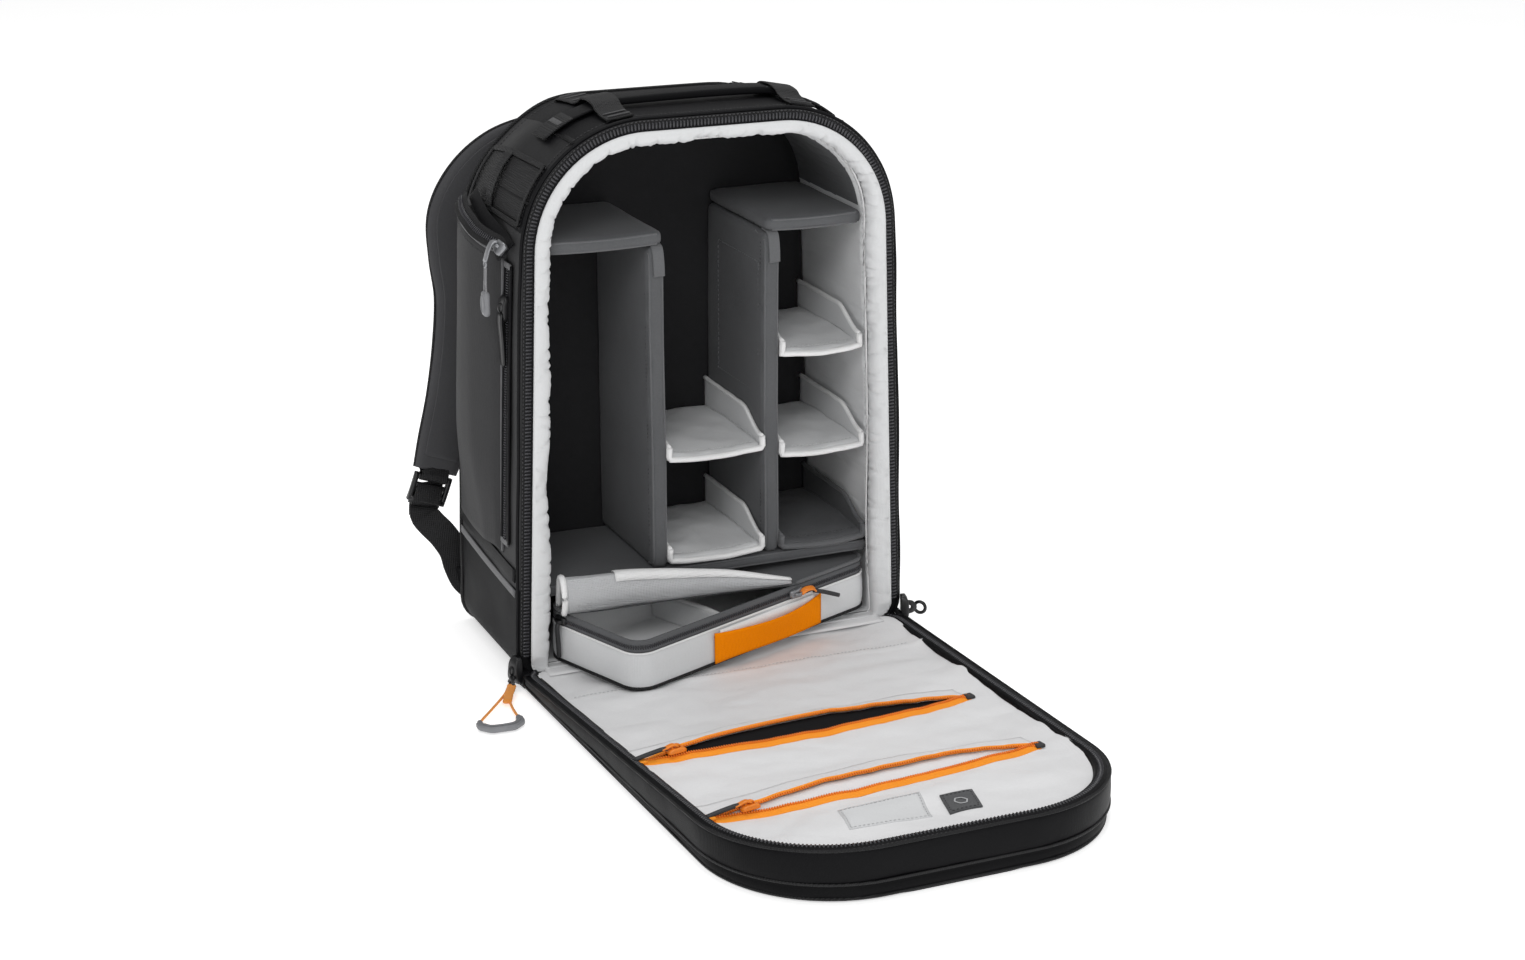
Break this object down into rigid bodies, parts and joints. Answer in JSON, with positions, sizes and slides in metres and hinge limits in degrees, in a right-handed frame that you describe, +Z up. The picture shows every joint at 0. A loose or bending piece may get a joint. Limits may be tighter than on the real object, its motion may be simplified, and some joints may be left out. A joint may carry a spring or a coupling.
{
  "type": "camera backpack",
  "caption": "Camera backpack standing open: padded box body, zip-round front flap laid on the floor, movable dividers and shelves, loose accessory pouch, side pockets and shoulder straps",
  "frame": {"origin": "middle of the base panel's underside", "axes": "+Z up, -Y out of the opening towards the open flap, +X towards the right when the opening is seen from the front"},
  "size_m": [0.4375, 0.6592, 0.469],
  "materials": {
    "shell_black": "smooth coated weave",
    "shell_grey": "smooth coated weave",
    "lining_pale": "brushed loop-pile lining",
    "divider_grey": "brushed loop-pile fabric over foam",
    "zip_black": "woven zip tape and moulded teeth",
    "zip_orange": "woven orange tape and cord",
    "web_black": "ribbed webbing",
    "plastic_black": "moulded, matt",
    "plastic_grey": "moulded or cast, matt",
    "mesh_black": "spacer mesh over foam",
    "board_black": "sheet",
    "stay_metal": "brushed"
  },
  "bodies": {
    "body": {"side_panel_left": "shell_grey", "side_panel_right": "shell_grey", "top_panel": "shell_black", "base_panel": "shell_black", "liner_wall": "lining_pale", "liner_back": "divider_grey", "frame_sheet": "board_black", "frame_stay": "stay_metal", "back_panel": "shell_black", "back_pad": "mesh_black", "body_zip_track": "zip_black", "hinge_gusset": "shell_black", "side_pocket_left": "shell_grey", "side_pocket_right": "shell_grey", "side_zip_top": "shell_grey", "side_zip_front": "zip_black", "base_shelf": "divider_grey", "top_handle": "shell_black", "handle_loop_left": "web_black", "handle_loop_right": "web_black", "lower_webbing_left": "web_black", "lower_webbing_right": "web_black"},
    "flap": {"flap_front": "shell_black", "flap_gusset": "shell_black", "flap_core": "board_black", "flap_zip_track": "zip_black", "flap_lining": "lining_pale", "flap_zip_upper": "zip_orange", "flap_zip_lower": "zip_orange", "label_patch": "divider_grey"},
    "flap_slider_upper": {"flap_slider_upper": "zip_orange"},
    "flap_slider_lower": {"flap_slider_lower": "zip_orange"},
    "main_slider_left": {"main_slider_left": "plastic_black"},
    "main_pull_left": {"pull_cord_left": "zip_orange", "pull_grip_left": "plastic_grey"},
    "main_slider_right": {"main_slider_right": "plastic_black"},
    "main_pull_right": {"pull_ring_right": "plastic_black"},
    "side_slider_top": {"side_slider_top": "plastic_grey"},
    "side_pull": {"side_pull_cord": "plastic_grey", "side_pull_toggle": "plastic_grey"},
    "side_slider_front": {"side_slider_front": "plastic_black"},
    "divider_left": {"divider_left": "divider_grey"},
    "divider_right": {"divider_right": "divider_grey"},
    "shelf_top_left": {"shelf_top_left": "divider_grey"},
    "shelf_top_right": {"shelf_top_right": "divider_grey"},
    "shelf_mid_upper": {"shelf_mid_upper": "lining_pale"},
    "shelf_mid_lower": {"shelf_mid_lower": "lining_pale"},
    "shelf_right_upper": {"shelf_right_upper": "lining_pale"},
    "shelf_right_mid": {"shelf_right_mid": "lining_pale"},
    "shelf_right_low": {"shelf_right_low": "divider_grey"},
    "strap_left": {"shoulder_strap_left": "shell_grey", "ladder_lock_left": "plastic_black"},
    "strap_right": {"shoulder_strap_right": "shell_grey", "ladder_lock_right": "plastic_black"},
    "pouch": {"pouch_tray": "lining_pale", "pouch_rim": "divider_grey", "pouch_handle": "zip_orange", "pouch_lid": "lining_pale"},
    "pouch_lid_flap": {"pouch_lid_flap": "lining_pale"},
    "pouch_slider": {"pouch_slider": "plastic_black"}
  },
  "joints": [
    {"name": "flap_hinge", "type": "hinge", "parent": "body", "child": "flap", "pos_m": [0, -0.075, 0.012], "axis": [-1, 0, 0], "range_deg": [0, 86.3], "deforming": ["pouch_tray", "pouch_rim", "pouch_handle", "pouch_lid", "pouch_lid_flap", "pouch_slider"]},
    {"name": "flap_slider_upper_run", "type": "slide", "parent": "flap", "child": "flap_slider_upper", "axis": [0.998, 0.0627, -0.004], "range_m": [0, 0.22]},
    {"name": "flap_slider_lower_run", "type": "slide", "parent": "flap", "child": "flap_slider_lower", "axis": [0.998, 0.0627, -0.004], "range_m": [0, 0.21]},
    {"name": "main_slider_left_run", "type": "slide", "parent": "body", "child": "main_slider_left", "axis": [0.0358, 0, 0.9994], "range_m": [0, 0.28]},
    {"name": "main_pull_left_swing", "type": "hinge", "parent": "main_slider_left", "child": "main_pull_left", "pos_m": [-0.182, -0.0873, 0.0085], "axis": [0, 1, 0], "range_deg": [0, 54]},
    {"name": "main_slider_right_run", "type": "slide", "parent": "body", "child": "main_slider_right", "axis": [-0.0358, 0, 0.9994], "range_m": [0, 0.28]},
    {"name": "main_pull_right_swing", "type": "hinge", "parent": "main_slider_right", "child": "main_pull_right", "pos_m": [0.1826, -0.0755, 0.015], "axis": [0, 1, 0], "range_deg": [-35, 35]},
    {"name": "side_slider_top_run", "type": "slide", "parent": "body", "child": "side_slider_top", "axis": [0, 1, 0], "range_m": [0, 0.1]},
    {"name": "side_pull_swing", "type": "hinge", "parent": "side_slider_top", "child": "side_pull", "pos_m": [-0.182, -0.0535, 0.3485], "axis": [0, 1, 0], "range_deg": [0, 55]},
    {"name": "side_slider_front_run", "type": "slide", "parent": "body", "child": "side_slider_front", "axis": [-0.0358, 0, -0.9994], "range_m": [0, 0.135]},
    {"name": "divider_left_out", "type": "slide", "parent": "body", "child": "divider_left", "axis": [0, 1, 0], "range_m": [-0.036, 0]},
    {"name": "divider_right_out", "type": "slide", "parent": "body", "child": "divider_right", "axis": [0, 1, 0], "range_m": [-0.12, 0]},
    {"name": "shelf_top_left_out", "type": "slide", "parent": "body", "child": "shelf_top_left", "axis": [0, 1, 0], "range_m": [-0.12, 0]},
    {"name": "shelf_top_right_out", "type": "slide", "parent": "body", "child": "shelf_top_right", "axis": [0, 1, 0], "range_m": [-0.12, 0]},
    {"name": "shelf_mid_upper_out", "type": "slide", "parent": "body", "child": "shelf_mid_upper", "axis": [0, 1, 0], "range_m": [-0.12, 0]},
    {"name": "shelf_mid_lower_out", "type": "slide", "parent": "body", "child": "shelf_mid_lower", "axis": [0, 1, 0], "range_m": [-0.042, 0]},
    {"name": "shelf_right_upper_out", "type": "slide", "parent": "body", "child": "shelf_right_upper", "axis": [0, 1, 0], "range_m": [-0.12, 0]},
    {"name": "shelf_right_mid_out", "type": "slide", "parent": "body", "child": "shelf_right_mid", "axis": [0, 1, 0], "range_m": [-0.12, 0]},
    {"name": "shelf_right_low_out", "type": "slide", "parent": "body", "child": "shelf_right_low", "axis": [0, 1, 0], "range_m": [-0.12, 0]},
    {"name": "strap_left_swing", "type": "hinge", "parent": "body", "child": "strap_left", "pos_m": [-0.062, 0.09, 0.456], "axis": [1, 0, 0], "range_deg": [0, 20], "deforming": ["lower_webbing_left"]},
    {"name": "strap_right_swing", "type": "hinge", "parent": "body", "child": "strap_right", "pos_m": [0.062, 0.09, 0.456], "axis": [1, 0, 0], "range_deg": [0, 20], "deforming": ["lower_webbing_right"]},
    {"name": "pouch_turn", "type": "hinge", "parent": "body", "child": "pouch", "pos_m": [0.1475, -0.064, 0.0188], "axis": [0, 0, -1], "range_deg": [0, 20.6]},
    {"name": "pouch_lid_fold", "type": "hinge", "parent": "pouch", "child": "pouch_lid_flap", "pos_m": [-0.1283, -0.07793, 0.05882], "axis": [0.9958, -0.0898, 0.0157], "range_deg": [0, 178], "deforming": ["pouch_lid_flap"]},
    {"name": "pouch_slider_run", "type": "slide", "parent": "pouch", "child": "pouch_slider", "axis": [-0.9359, -0.3518, -0.0174], "range_m": [0, 0.13]}
  ],
  "couplings": [
    {"joint": "pouch_turn", "follows": "flap_hinge", "ratio": 0.2387}
  ]
}
